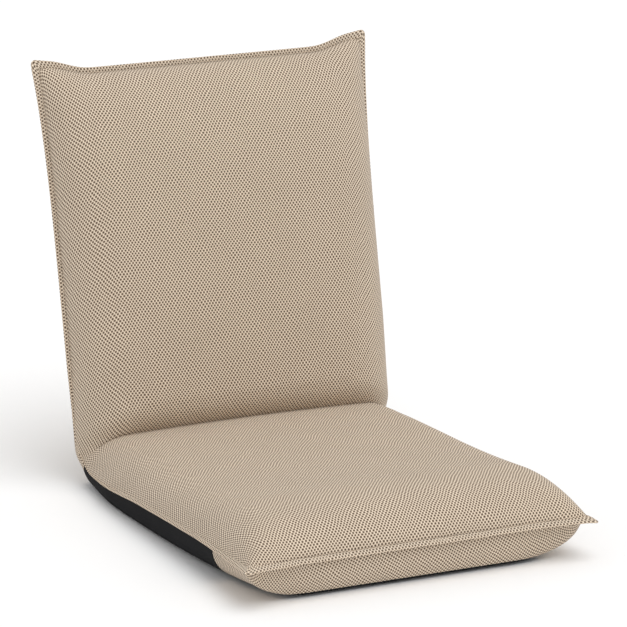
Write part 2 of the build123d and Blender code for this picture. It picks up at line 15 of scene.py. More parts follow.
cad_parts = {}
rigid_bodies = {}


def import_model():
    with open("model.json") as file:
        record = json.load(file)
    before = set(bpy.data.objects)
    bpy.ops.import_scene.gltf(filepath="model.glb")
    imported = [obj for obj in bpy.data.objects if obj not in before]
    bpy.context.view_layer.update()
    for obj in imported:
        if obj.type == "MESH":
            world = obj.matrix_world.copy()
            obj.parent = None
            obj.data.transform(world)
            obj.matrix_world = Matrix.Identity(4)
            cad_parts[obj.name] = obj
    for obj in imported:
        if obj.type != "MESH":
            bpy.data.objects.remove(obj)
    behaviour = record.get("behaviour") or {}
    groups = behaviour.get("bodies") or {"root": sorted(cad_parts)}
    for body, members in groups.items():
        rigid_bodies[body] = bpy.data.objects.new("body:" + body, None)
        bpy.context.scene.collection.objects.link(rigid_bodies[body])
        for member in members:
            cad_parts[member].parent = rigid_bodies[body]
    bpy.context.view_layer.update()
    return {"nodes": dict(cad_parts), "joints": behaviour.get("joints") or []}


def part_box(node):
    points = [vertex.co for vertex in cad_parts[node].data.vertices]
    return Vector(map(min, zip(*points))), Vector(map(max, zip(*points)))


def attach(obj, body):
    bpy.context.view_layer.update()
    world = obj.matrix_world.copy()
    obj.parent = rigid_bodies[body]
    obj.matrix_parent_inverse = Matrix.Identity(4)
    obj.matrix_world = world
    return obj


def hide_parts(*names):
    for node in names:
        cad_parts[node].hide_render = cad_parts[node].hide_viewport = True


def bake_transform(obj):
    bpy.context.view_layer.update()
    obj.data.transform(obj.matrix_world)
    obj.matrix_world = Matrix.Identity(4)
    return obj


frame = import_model()

# %% [markdown]
# Every place on the cover is found from the hinge. The seat and the back are both described lying
# flat: s is how far a point is from the hinge axis, and n is its height over the plane of the seam.
# That makes one set of formulas serve both halves, and the back is then stood up about the hinge.

# %% Measures taken from the frame
MM = 0.001
hinge = Vector(frame["joints"][0]["pos_m"])
seat_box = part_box("seat_top_cover")
lean = math.radians(12)
back_up = Vector((0, math.sin(lean), math.cos(lean)))
back_face = Vector((0, -math.cos(lean), math.sin(lean)))
crease = (math.pi / 2 + lean) / 2
seat_length = hinge.y - seat_box[0].y
back_length = 460.5 * MM
print("hinge", [round(v, 4) for v in hinge], "seat length", round(seat_length, 4))


class Half:
    """One half of the cover: which way it lies, its size, and how it swells and falls."""

    def __init__(self, along, up, **sizes):
        self.along, self.up = along, up
        self.__dict__.update(sizes)

    def place(self, x, s, n):
        return hinge + Vector((x, 0, 0)) + self.along * s + self.up * n


seat = Half(Vector((0, -1, 0)), Vector((0, 0, 1)), length=seat_length, crown=51 * MM, tilt=15 * MM,
            end_fall=98 * MM, side_fall=44 * MM, depth=hinge.z, under_fall=16 * MM, lift=18 * MM,
            mid_rise=6.5 * MM, seam_run=150 * MM, waist_run=90 * MM, corner_reach=6 * MM,
            lip_side=4 * MM, lip_end=8 * MM, lip_root=4 * MM, droop=math.radians(42), foot=0.53,
            bottom_clear=2 * MM)
back = Half(back_up, back_face, length=back_length, crown=60 * MM, tilt=0, end_fall=150 * MM,
            side_fall=66 * MM, depth=26 * MM, under_fall=80 * MM, lift=0, mid_rise=0,
            seam_run=110 * MM, waist_run=25 * MM, corner_reach=12 * MM, lip_side=5.5 * MM,
            lip_end=8 * MM, lip_root=0, droop=0, foot=0.5, bottom_clear=0)

# %% [markdown]
# The seam is the line where the upper and lower panels are sewn. Seen from above it runs a little
# wider at the outer corners, and the end seams bow in between them, as on any cover whose corners
# aren't quite filled out by the foam. Near the hinge it sags towards the floor and the rear, and
# turns through a round bend from the seat to the back.

# %% The seam line
half_width = 205 * MM
corner_flare = 6 * MM
waist = 6 * MM
lift_length = 270 * MM
seam_sag = 8 * MM
bend_radius = 30 * MM
bend_start = bend_radius / math.tan(crease)
bend_corner = -seam_sag / math.tan(crease)
end_edge = 1.5 * MM
# where the seam climbs and comes down again, as shares of a half's length
climb_from, climb_run = 0.2, 0.4
descent_from, descent_run = 0.68, 0.32
corner_run = 90 * MM
corner_margin = 8 * MM
corner_spread = 54 * MM


def smooth_step(x):
    x = min(max(x, 0), 1)
    return x * x * (3 - 2 * x)


def seam_half(half, s):
    narrowed = waist * (1 - smooth_step(s / half.waist_run))
    return half_width - narrowed + corner_flare * max(s / half.length, 0) ** 6


def lifted(half, s):
    """Height of the seam plane, which rises towards the front of the seat."""
    run = max(s - (half.length - lift_length), 0) / lift_length
    return half.lift * run ** 2


def seam_height(half, s):
    sag = seam_sag * (1 - smooth_step((s - bend_start) / half.seam_run))
    rise = half.mid_rise * smooth_step((s - climb_from * half.length) / (climb_run * half.length))
    rise *= 1 - smooth_step((s - descent_from * half.length) / (descent_run * half.length))
    inside = max(bend_start - (s - bend_corner), 0)
    bend = bend_radius - math.sqrt(bend_radius ** 2 - inside ** 2)
    return lifted(half, s) - sag + rise + bend


bend_reach = bend_radius / math.sin(crease) - bend_radius
seam_middle = bend_corner + bend_reach * math.cos(crease)


def corner_out(half, out, s):
    """How far the end bows out at its corners: out runs from 0 in the middle to 1 at the seam."""
    near_end = smooth_step((s - (half.length - corner_run)) / corner_run)
    from_corner = (1 - abs(out)) * half_width
    inward = smooth_step((from_corner - corner_margin) / corner_spread)
    return half.corner_reach * (1 - inward) * near_end


# %% [markdown]
# Three lines per half give the whole form: the side seam, the crown line along the middle of the
# upper panel, and the under line along the middle of the lower one. The crown falls to the end seam
# nearly on an ellipse, and rolls down into the crease, where the seat and back panels press together.

# %% Crown line and under line
crease_depth = 43 * MM
crease_roll = 34 * MM
crease_s = crease_depth / math.tan(crease)
heel_length = 70 * MM
heel_half_angle = (math.pi / 2 - lean) / 2
shoulder = 0.88
tilt_pivot = 0.4
roll_power = 2.4
clear_from, clear_run = 0.84, 0.1


def quarter(distance, run, power=2.15, root=0.5):
    """0 at distance 0, rising like a quarter of an ellipse to 1 at run.

    A larger root starts it flatter.
    """
    r = min(max(distance / run, 0), 1)
    return max(1 - (1 - r) ** power, 0) ** root


def crown_line(half, f):
    s = half.length + (crease_s - half.length) * f
    roll = max(1 - (s - crease_s) / crease_roll, 0) ** roll_power
    crown = half.crown + half.tilt * (s / half.length - tilt_pivot)
    full = crown - (crown - crease_depth) * roll
    over_edge = (full - end_edge) * quarter(half.length - s, half.end_fall, root=half.foot)
    return s, lifted(half, s) + end_edge + over_edge


def under_line(half, f):
    path = f * (half.length + hinge.z * heel_half_angle)
    s = half.length - path
    if s < 0:
        turn = -s / hinge.z
        return -hinge.z * math.sin(turn), -hinge.z * math.cos(turn)
    depth = half.depth + (hinge.z - half.depth) * max(1 - s / heel_length, 0) ** 2
    depth -= half.bottom_clear * smooth_step((s / half.length - clear_from) / clear_run)
    base = lifted(half, s)
    return s, base - end_edge - (depth + base - end_edge) * quarter(half.length - s, half.under_fall)


# %% [markdown]
# Across a panel, the upper side rises steeply from the seam and then runs nearly flat. The lower
# side turns in to the flat underside over a short inset, which grows towards the outer corners, so
# that these are well rounded from below.

# %% Rise across a panel
under_inset = 11 * MM
heel_inset = 16 * MM
heel_inset_length = 120 * MM
corner_inset = 76 * MM
upper_power = 2.2
under_power, under_power_drop = 2.6, 0.8
drop_from, drop_run = 0.6, 0.35
least_share = 0.05


def upper_rise(half, s, out):
    d = (1 - abs(out)) * half_width
    steep = quarter(d, half.side_fall, upper_power, half.foot)
    return shoulder * steep + (1 - shoulder) * (1 - out ** 2)


def under_rise(half, s, out):
    """Share of the depth reached at out. Side and end are rounded together at a corner."""
    d = (1 - abs(out)) * half_width
    heel_part = heel_inset * min(max(1 - s / heel_inset_length, 0), 1) ** 2
    inset = under_inset + heel_part + corner_inset * max(s / half.length, 0) ** 3
    side = 1 - min(d / inset, 1)
    end = 1 - min(max((half.length - s) / half.under_fall, 0), 1)
    dropped = smooth_step((s - drop_from * half.length) / (drop_run * half.length))
    power = under_power - under_power_drop * dropped
    both = max(1 - side ** power - end ** power, 0) ** 0.5
    return both / max(quarter(half.length - s, half.under_fall), least_share)


# %% [markdown]
# A panel starts as a flat grid, the way cloth starts, and each of its points is then moved to its
# place on the form. How far each point then lies along its row and its column, in metres of cloth, is
# kept as the UV map, so the knit follows the panel round every bend at close to its true size.

# %% Panels from grids
rows, columns = 140, 72
side_spread = 0.92
crowding = 0.85


def eased(k):
    """0 to 1 with more points near both ends, where the form bends most."""
    return k - crowding * math.sin(2 * math.pi * k) / (2 * math.pi)


def side_seam(half, f):
    s = half.length + (seam_middle - half.length) * f
    return s, seam_height(half, s)


def form_point(line, rise_of, q, v):
    """q runs across from -1 to 1, v from the front seam (0) over the hinge (0.5) to the top (1)."""
    half, k = (seat, 2 * v) if v <= 0.5 else (back, 2 - 2 * v)
    f = eased(k)
    seam, middle = side_seam(half, f), line(half, f)
    out = math.copysign(math.sin(math.pi / 2 * abs(q)) ** side_spread, q)
    rise = min(rise_of(half, middle[0], out), 1)
    s = seam[0] + (middle[0] - seam[0]) * rise + corner_out(half, out, seam[0])
    n = seam[1] + (middle[1] - seam[1]) * rise
    return half.place(out * seam_half(half, seam[0]), s, n)


def running(points):
    """Length along a line of points, at each of them."""
    total, out = 0.0, [0.0]
    for a, b in zip(points, points[1:]):
        total += (b - a).length
        out.append(total)
    return out


def cloth_places(points):
    """Flat place of every grid point: u from the middle of the panel, v from the hinge."""
    across = [running(row) for row in points]
    along = [running([row[i] for row in points]) for i in range(columns + 1)]
    middle, hinge_row = columns // 2, rows // 2
    return [[(across[j][i] - across[j][middle], along[i][j] - along[i][hinge_row])
             for i in range(columns + 1)] for j in range(rows + 1)]


def add_panel(bm, line, rise_of, tag, upward):
    """Adds one whole-length panel to bm and returns its points."""
    uv_layer = bm.loops.layers.uv.verify()
    tag_layer = bm.faces.layers.int.get("panel") or bm.faces.layers.int.new("panel")
    made = bmesh.ops.create_grid(bm, x_segments=columns, y_segments=rows, size=0.5)["verts"]
    points = [[form_point(line, rise_of, -1 + 2 * i / columns, j / rows) for i in range(columns + 1)]
              for j in range(rows + 1)]
    flat = cloth_places(points)
    grid_place = {}
    for vert in made:
        i, j = round((vert.co.x + 0.5) * columns), round((vert.co.y + 0.5) * rows)
        grid_place[vert] = flat[j][i]
        vert.co = points[j][i]
    faces = {face for vert in made for face in vert.link_faces}
    for face in faces:
        face[tag_layer] = tag
        face.smooth = True
        for loop in face.loops:
            loop[uv_layer].uv = grid_place[loop.vert]
    if not upward:
        bmesh.ops.reverse_faces(bm, faces=list(faces))
    return made


UPPER, UNDER = 1, 2
cover_bm = bmesh.new()
upper_verts = add_panel(cover_bm, crown_line, upper_rise, UPPER, True)
under_verts = add_panel(cover_bm, under_line, under_rise, UNDER, False)
print("cover grid", len(upper_verts), "and", len(under_verts), "points")

# %% [markdown]
# Sewn together at the seams, the two panels make a closed bag. Blender's Cloth then fills it with a
# little air pressure from inside, with the seams, the underside and the crease pinned. By itself this
# would move points by up to 26 mm, far from the form that was fitted to the photo. So each point moves
# by 1 mm at most, and by less near the side seams, and the form stays nearly what the formulas gave.

# %% Sew and fill the cover
weld = 0.05 * MM
bmesh.ops.remove_doubles(cover_bm, verts=cover_bm.verts, dist=weld)
bmesh.ops.recalc_face_normals(cover_bm, faces=cover_bm.faces)
cover_mesh = bpy.data.meshes.new("cover_bag")
cover_bm.to_mesh(cover_mesh)
cover_bm.free()
bag = bpy.data.objects.new("cover_bag", cover_mesh)
bpy.context.scene.collection.objects.link(bag)
swell_cap = 1 * MM
swell_margin = 45 * MM
crease_hold = 85 * MM
cloth_frames = 18


def pin_strength(point, under):
    """1 where the cloth can't move: the underside, the seams and all round the crease."""
    if under:
        return 1.0
    rel = point - hinge
    in_crease = math.hypot(rel.y, rel.z) < crease_hold
    return 1.0 if in_crease else 0.0


def fill_bag(obj):
    """Runs the cloth and writes its result to the mesh, capped, and faded out at the side seams."""
    panel = obj.data.attributes["panel"].data
    under_points = {v for face in obj.data.polygons if panel[face.index].value == UNDER
                    for v in face.vertices}
    group = obj.vertex_groups.new(name="pinned")
    start = [v.co.copy() for v in obj.data.vertices]
    for v in obj.data.vertices:
        group.add([v.index], pin_strength(v.co, v.index in under_points), "REPLACE")
    cloth = obj.modifiers.new("fill", "CLOTH")
    cloth.settings.quality = 5
    cloth.settings.mass = 0.2
    cloth.settings.use_pressure = True
    cloth.settings.uniform_pressure_force = 5
    cloth.settings.tension_stiffness = 12
    cloth.settings.compression_stiffness = 12
    cloth.settings.bending_stiffness = 0.6
    cloth.settings.vertex_group_mass = "pinned"
    cloth.settings.effector_weights.gravity = 0
    scene = bpy.context.scene
    for frame_number in range(1, cloth_frames + 1):
        scene.frame_set(frame_number)
    evaluated = obj.evaluated_get(bpy.context.evaluated_depsgraph_get())
    moved = [v.co.copy() for v in evaluated.data.vertices]
    obj.modifiers.remove(cloth)
    scene.frame_set(1)
    largest = 0
    for v, a, b in zip(obj.data.vertices, start, moved):
        shift = b - a
        largest = max(largest, shift.length)
        if shift.length > swell_cap:
            shift *= swell_cap / shift.length
        shift *= smooth_step((half_width - abs(a.x)) / swell_margin)
        v.co = a + shift
    print("cloth moved up to", round(largest * 1000, 1), "mm")


fill_bag(bag)

# %% [markdown]
# The real cover is cut from several cloths, so the filled bag is cut apart again along its seams:
# the upper panel in one length, the rear of the back, the wrap that holds the front edge, and the
# black cloth of the underside, whose front edge bows. At the front the black cloth also shows as a thin
# foot under the wrap, which is partly the real black underside and partly painted shadow where the
# wrap meets the floor. Each panel then gets its own thickness.

# %% Cut the bag into its panels
heel_seam = math.radians(38)
cloth_front = 408 * MM
cloth_bow = 26 * MM
# height of the black foot under the wrap: partly the real black underside, partly painted shadow at the
# floor
black_shadow_foot = 6 * MM
wrap_grain = 15
knit_thick = 2.0 * MM
felt_thick = 1.4 * MM
smooth_levels = 1


def under_part(face_centre):
    """Which of the lower cloths a face belongs to. The black foot at the front is partly painted shadow.
    """
    rel = face_centre - hinge
    s = -rel.y
    if math.atan2(rel.y, -rel.z) > heel_seam:
        return "rear"
    bow = cloth_bow * (rel.x / half_width) ** 2
    return "wrap" if s > cloth_front - bow and rel.z > black_shadow_foot - hinge.z else "base"


def cut_foot():
    """Cuts the front of the bag level all round, where the wrap ends above the floor. Below the cut the
    black cloth is partly painted shadow along the floor.
    """
    bm = bmesh.new()
    bm.from_mesh(bag.data)
    tag_layer = bm.faces.layers.int["panel"]
    front = [f for f in bm.faces if f[tag_layer] == UNDER
             and hinge.y - f.calc_center_median().y > cloth_front - 2 * cloth_bow]
    edges = {e for f in front for e in f.edges}
    verts = {v for f in front for v in f.verts}
    bmesh.ops.bisect_plane(bm, geom=[*front, *edges, *verts], dist=weld,
                           plane_co=(0, 0, black_shadow_foot), plane_no=(0, 0, 1))
    bm.to_mesh(bag.data)
    bm.free()


cut_foot()


def panel_object(name, keep, thickness):
    """Copies the faces of bag that keep() picks into a piece of their own."""
    bm = bmesh.new()
    bm.from_mesh(bag.data)
    tag_layer = bm.faces.layers.int["panel"]
    drop = [f for f in bm.faces if not keep(f[tag_layer], f.calc_center_median())]
    bmesh.ops.delete(bm, geom=drop, context="FACES")
    mesh = bpy.data.meshes.new(name)
    bm.to_mesh(mesh)
    bm.free()
    piece = bpy.data.objects.new(name, mesh)
    bpy.context.scene.collection.objects.link(piece)
    smooth = piece.modifiers.new("smooth", "SUBSURF")
    smooth.levels = smooth.render_levels = smooth_levels
    wall = piece.modifiers.new("wall", "SOLIDIFY")
    wall.thickness = thickness
    wall.offset = -1
    print(name, len(mesh.polygons), "faces")
    return piece


def lower(part):
    """Picks the faces of one of the lower cloths."""
    return lambda tag, centre: tag == UNDER and under_part(centre) == part


upper_cover = panel_object("cover_upper", lambda tag, centre: tag == UPPER, knit_thick)
rear_cover = panel_object("cover_rear", lower("rear"), knit_thick)
front_wrap = panel_object("cover_front_wrap", lower("wrap"), knit_thick)
base_cloth = panel_object("cover_base_cloth", lower("base"), felt_thick)


def turn_cloth(piece, degrees):
    """Lays a panel's grain at an angle to the others, by turning its UV map."""
    turn = Matrix.Rotation(math.radians(degrees), 2)
    for spot in piece.data.uv_layers[0].uv:
        spot.vector = turn @ spot.vector


turn_cloth(front_wrap, wrap_grain)
bpy.data.objects.remove(bag)

# %% [markdown]
# The seam allowance is turned outwards and stitched down twice, which leaves a flat lip right round
# the cover. It is widest at the ends and draws out into a small ear at each corner. The lip is swept
# as a flattened tube along the seam: a grid whose two long edges are welded, one ring per step.

# %% The stitched lip
lip_thick = 2.6 * MM
lip_hinge = 1 * MM
lip_taper = 110 * MM
ear = 9 * MM
lip_tuck = 4 * MM
ring_points = 12
rim_thinning = 0.35
ear_round = 6 * MM
ear_short = 4 * MM
side_end = 6 * MM
end_margin = 8 * MM
side_steps, corner_steps, end_steps = 40, 7, 41


def lip_width(half, s):
    near = lip_hinge + (half.lip_side - lip_hinge) * smooth_step((s - bend_start) / lip_taper)
    return near + (ear - half.lip_side) * max(s / half.length, 0) ** 8


def lip_rim(half, x, s, n, aside, ahead, droop):
    """Rim of the lip where it reaches aside and ahead of the seam point, hanging by its droop."""
    flat = math.cos(droop)
    return half.place(x + aside * flat, s + ahead * flat, n - math.hypot(aside, ahead) * math.sin(droop))


def side_stops(half, sign, steps):
    """Inner and outer edge of the lip from the hinge to near the corner."""
    stops = []
    for k in range(steps):
        along = seam_middle + (half.length - side_end - seam_middle) * k / (steps - 1)
        x, n = seam_half(half, along), seam_height(half, along)
        s = along + corner_out(half, 1, along)
        droop = half.droop * smooth_step((along - bend_start) / lip_taper)
        root = n + half.lip_root * droop / max(half.droop, 1e-6)
        aside = sign * lip_width(half, along)
        stops.append((half.place(sign * (x - lip_tuck), s, root),
                      lip_rim(half, sign * x, s, (n + root) / 2, aside, 0, droop)))
    return stops


def corner_stops(half, sign, steps):
    """Round the ear: the inner edge stays at the seam's corner."""
    x, n = seam_half(half, half.length), seam_height(half, half.length)
    s = half.length + corner_out(half, 1, half.length)
    inner = half.place(sign * (x - lip_tuck), s - lip_tuck, n + half.lip_root)
    n += half.lip_root / 2
    tip_x, tip_s = ear - ear_round, ear - ear_short
    stops = []
    for k in range(steps):
        turn = math.pi / 2 * k / (steps - 1)
        aside, ahead = tip_x + ear_round * math.cos(turn), tip_s + ear_round * math.sin(turn)
        stops.append((inner, lip_rim(half, sign * x, s, n, sign * aside, ahead, 0.6 * half.droop)))
    return stops


def end_stops(half, steps):
    """Across the end seam, from the +X corner to the -X one. The lip dips between its ears."""
    n, reach = seam_height(half, half.length), seam_half(half, half.length) - end_margin
    stops = []
    for k in range(steps):
        x = reach * (1 - 2 * k / (steps - 1))
        s = half.length + corner_out(half, x / seam_half(half, half.length), half.length)
        wide = half.lip_end + (ear - half.lip_end) * abs(x / reach) ** 6
        droop = half.droop * (1 - 0.4 * abs(x / reach) ** 6)
        stops.append((half.place(x, s - lip_tuck, n + half.lip_root),
                      lip_rim(half, x, s, n + half.lip_root / 2, 0, wide, droop)))
    return stops


def lip_loop():
    one_way = []
    for half in (seat, back):
        plus, minus = (side_stops(half, sign, side_steps) + corner_stops(half, sign, corner_steps)
                       for sign in (1, -1))
        one_way.append(plus + end_stops(half, end_steps) + minus[::-1])
    return one_way[0] + one_way[1][::-1][1:-1]


def ring_point(inner, outer, up, turn):
    """A flattened ring: full thickness at the seam, thinner at the rim."""
    middle, reach = (inner + outer) / 2, (outer - inner) / 2
    squash = 1 - rim_thinning * math.cos(turn)
    return middle + reach * math.cos(turn) + up * (lip_thick / 2) * math.sin(turn) * squash


def build_lip():
    stops = lip_loop()
    count = len(stops)
    bm = bmesh.new()
    uv_layer = bm.loops.layers.uv.verify()
    made = bmesh.ops.create_grid(bm, x_segments=ring_points, y_segments=count, size=0.5)["verts"]
    run = running([(a + b) / 2 for a, b in stops + stops[:1]])
    spots = {}
    for vert in made:
        i, j = round((vert.co.x + 0.5) * ring_points), round((vert.co.y + 0.5) * count)
        inner, outer = stops[j % count]
        along = (stops[(j + 1) % count][1] - stops[j - 1][1]).normalized()
        up = along.cross((outer - inner).normalized()).normalized()
        turn = 2 * math.pi * i / ring_points
        spots[vert] = (run[j], (1 - math.cos(turn)) / 2 * (outer - inner).length)
        vert.co = ring_point(inner, outer, up, turn)
    for face in bm.faces:
        face.smooth = True
        for loop in face.loops:
            loop[uv_layer].uv = spots[loop.vert]
    bmesh.ops.remove_doubles(bm, verts=bm.verts, dist=0.02 * MM)
    bmesh.ops.recalc_face_normals(bm, faces=bm.faces)
    mesh = bpy.data.meshes.new("seam_lip")
    bm.to_mesh(mesh)
    bm.free()
    piece = bpy.data.objects.new("seam_lip", mesh)
    bpy.context.scene.collection.objects.link(piece)
    smooth = piece.modifiers.new("smooth", "SUBSURF")
    smooth.levels = smooth.render_levels = smooth_levels
    print("lip", count, "steps, length", round(run[-1], 3), "m")
    return piece


seam_lip = build_lip()

# %% [markdown]
# The knit is a thick spacer mesh: rows of small open holes, each row set half a hole to the side of
# the last, with pale loops between them. The near-black colour of the holes is painted shade inside
# them, and the pale colour of the loop tops is a painted highlight. It is one node group, so that the
# panels and the lip share it. It reads the cloth's own UV map in metres, and puts out a colour, a
# height and a roughness.

# %% Node helpers


def new_group(name, inputs, outputs):
    group = bpy.data.node_groups.new(name, "ShaderNodeTree")
    for label, kind, value in inputs:
        socket = group.interface.new_socket(label, in_out="INPUT", socket_type=kind)
        if value is not None:
            socket.default_value = value
    for label, kind in outputs:
        group.interface.new_socket(label, in_out="OUTPUT", socket_type=kind)
    return group, group.nodes.new("NodeGroupInput"), group.nodes.new("NodeGroupOutput")


def math_node(tree, operation, a, b=None):
    node = tree.nodes.new("ShaderNodeMath")
    node.operation = operation
    for socket, value in zip(node.inputs, (a, b)):
        if value is None:
            continue
        if isinstance(value, (int, float)):
            socket.default_value = value
        else:
            tree.links.new(value, socket)
    return node.outputs[0]


def mix_colour(tree, factor, a, b, blend="MIX"):
    node = tree.nodes.new("ShaderNodeMix")
    node.data_type = "RGBA"
    node.blend_type = blend
    for socket, value in ((node.inputs[0], factor), (node.inputs[6], a), (node.inputs[7], b)):
        if isinstance(value, bpy.types.NodeSocket):
            tree.links.new(value, socket)
        else:
            socket.default_value = value
    return node.outputs[2]


def ramp_between(tree, value, low, high):
    """0 under low, 1 over high, smooth between."""
    node = tree.nodes.new("ShaderNodeMapRange")
    node.interpolation_type = "SMOOTHSTEP"
    node.inputs["From Min"].default_value = low
    node.inputs["From Max"].default_value = high
    tree.links.new(value, node.inputs["Value"])
    return node.outputs["Result"]


def noise(tree, vector, scale, detail=2.0):
    node = tree.nodes.new("ShaderNodeTexNoise")
    node.inputs["Scale"].default_value = scale
    node.inputs["Detail"].default_value = detail
    tree.links.new(vector, node.inputs["Vector"])
    return node.outputs["Fac"]


# %% The spacer mesh group
hole_pitch = 4.1 * MM
row_pitch = 1.36
wander = 1.1
# from the middle of a hole outwards, in hole pitches
hole_edge = (0.14, 0.33)
loop_edge = (0.34, 0.50)
fine_tone, broad_tone, base_tone = 0.24, 0.10, 0.83


def spacer_mesh_group():
    group, entry, exit_node = new_group(
        "spacer_mesh",
        [("UV", "NodeSocketVector", None), ("Pitch", "NodeSocketFloat", hole_pitch),
         ("Yarn", "NodeSocketColor", (0.54, 0.42, 0.305, 1)),
         # the pale loop colour is a painted highlight on the loop tops; the dark hole colour is painted
         # shade inside the holes
         ("Loop_highlight", "NodeSocketColor", (1.0, 0.87, 0.71, 1)),
         ("Hole_shade", "NodeSocketColor", (0.085, 0.055, 0.035, 1))],
        [("Color", "NodeSocketColor"), ("Height", "NodeSocketFloat"), ("Roughness", "NodeSocketFloat")])
    split = group.nodes.new("ShaderNodeSeparateXYZ")
    group.links.new(entry.outputs["UV"], split.inputs[0])
    warp = math_node(group, "MULTIPLY", noise(group, entry.outputs["UV"], 34, 3), wander)
    weft = math_node(group, "MULTIPLY", noise(group, entry.outputs["UV"], 27, 3), wander)
    across_cloth = math_node(group, "DIVIDE", split.outputs[0], entry.outputs["Pitch"])
    along_cloth = math_node(group, "DIVIDE", split.outputs[1], entry.outputs["Pitch"])
    along_cloth = math_node(group, "DIVIDE", along_cloth, row_pitch)
    across_cloth = math_node(group, "ADD", across_cloth, warp)
    along_cloth = math_node(group, "ADD", along_cloth, weft)
    # the two diagonals of the staggered lattice
    one = math_node(group, "ADD", across_cloth, along_cloth)
    two = math_node(group, "SUBTRACT", across_cloth, along_cloth)
    one_in = math_node(group, "SUBTRACT", math_node(group, "FRACT", one), 0.5)
    two_in = math_node(group, "SUBTRACT", math_node(group, "FRACT", two), 0.5)
    # distance from the nearest hole, in hole pitches
    aside = math_node(group, "MULTIPLY", math_node(group, "ADD", one_in, two_in), 0.5)
    ahead = math_node(group, "MULTIPLY", math_node(group, "SUBTRACT", one_in, two_in), 0.5 * row_pitch)
    square = math_node(group, "ADD", math_node(group, "MULTIPLY", aside, aside),
                       math_node(group, "MULTIPLY", ahead, ahead))
    radius = math_node(group, "SQRT", square)
    solid = ramp_between(group, radius, *hole_edge)
    loops = ramp_between(group, radius, *loop_edge)
    fine = noise(group, entry.outputs["UV"], 900)
    broad = noise(group, entry.outputs["UV"], 14)
    # yarn colour with the painted highlight on the loop tops
    yarn_and_highlight = mix_colour(group, loops, entry.outputs["Yarn"], entry.outputs["Loop_highlight"])
    shade = math_node(group, "ADD", math_node(group, "MULTIPLY", fine, fine_tone),
                      math_node(group, "MULTIPLY", broad, broad_tone))
    shade = math_node(group, "ADD", shade, base_tone)
    grey = group.nodes.new("ShaderNodeCombineColor")
    for socket in grey.inputs[:3]:
        group.links.new(shade, socket)
    yarn_and_highlight = mix_colour(group, 1.0, yarn_and_highlight, grey.outputs[0], "MULTIPLY")
    # the holes get painted shade, near black
    colour = mix_colour(group, solid, entry.outputs["Hole_shade"], yarn_and_highlight)
    height = math_node(group, "ADD", math_node(group, "MULTIPLY", solid, 0.8),
                       math_node(group, "MULTIPLY", loops, 0.2))
    rough = math_node(group, "ADD", math_node(group, "MULTIPLY", fine, 0.1), 0.82)
    group.links.new(colour, exit_node.inputs["Color"])
    group.links.new(height, exit_node.inputs["Height"])
    group.links.new(rough, exit_node.inputs["Roughness"])
    return group


spacer_mesh = spacer_mesh_group()


# %% [markdown]
# A material keeps its own shader and places the shared group in it. The bump stands for the knit's
# depth. A little sheen gives cloth its pale edge, set on the shader's own socket.

# %% Cloth materials
stitch_pitch = 3.2 * MM
stitch_share = 0.72
stitch_rows = (4.2 * MM, 6.8 * MM)
thread_half = 0.35 * MM
thread_colour = (0.70, 0.60, 0.48, 1)


def base_material(name):
    material = bpy.data.materials.new(name)
    material.use_nodes = True
    shader = material.node_tree.nodes["Principled BSDF"]
    return material, material.node_tree, shader


def bump_into(tree, shader, height, strength, distance):
    bump = tree.nodes.new("ShaderNodeBump")
    bump.inputs["Strength"].default_value = strength
    bump.inputs["Distance"].default_value = distance
    tree.links.new(height, bump.inputs["Height"])
    tree.links.new(bump.outputs["Normal"], shader.inputs["Normal"])


def mesh_material(name, stitches):
    material, tree, shader = base_material(name)
    uv = tree.nodes.new("ShaderNodeUVMap")
    knit = tree.nodes.new("ShaderNodeGroup")
    knit.node_tree = spacer_mesh
    tree.links.new(uv.outputs["UV"], knit.inputs["UV"])
    colour, height = knit.outputs["Color"], knit.outputs["Height"]
    if stitches:
        colour, height = add_stitches(tree, uv.outputs["UV"], colour, height)
    tree.links.new(colour, shader.inputs["Base Color"])
    tree.links.new(knit.outputs["Roughness"], shader.inputs["Roughness"])
    shader.inputs["Sheen Weight"].default_value = 0.15
    shader.inputs["Sheen Roughness"].default_value = 0.5
    shader.inputs["Specular IOR Level"].default_value = 0.25
    bump_into(tree, shader, height, strength=0.7, distance=0.9 * MM)
    return material


def add_stitches(tree, uv, colour, height):
    """Two rows of thread along the lip: u runs along it, v across it."""
    split = tree.nodes.new("ShaderNodeSeparateXYZ")
    tree.links.new(uv, split.inputs[0])
    dash = math_node(tree, "FRACT", math_node(tree, "DIVIDE", split.outputs[0], stitch_pitch))
    long = math_node(tree, "LESS_THAN", dash, stitch_share)
    row = None
    for place in stitch_rows:
        off = math_node(tree, "ABSOLUTE", math_node(tree, "SUBTRACT", split.outputs[1], place))
        line = math_node(tree, "LESS_THAN", off, thread_half)
        row = line if row is None else math_node(tree, "MAXIMUM", row, line)
    thread = math_node(tree, "MULTIPLY", row, long)
    colour = mix_colour(tree, thread, colour, thread_colour)
    trough = math_node(tree, "MULTIPLY", row, 0.5)
    height = math_node(tree, "SUBTRACT", height, trough)
    return colour, math_node(tree, "ADD", height, math_node(tree, "MULTIPLY", thread, 0.9))


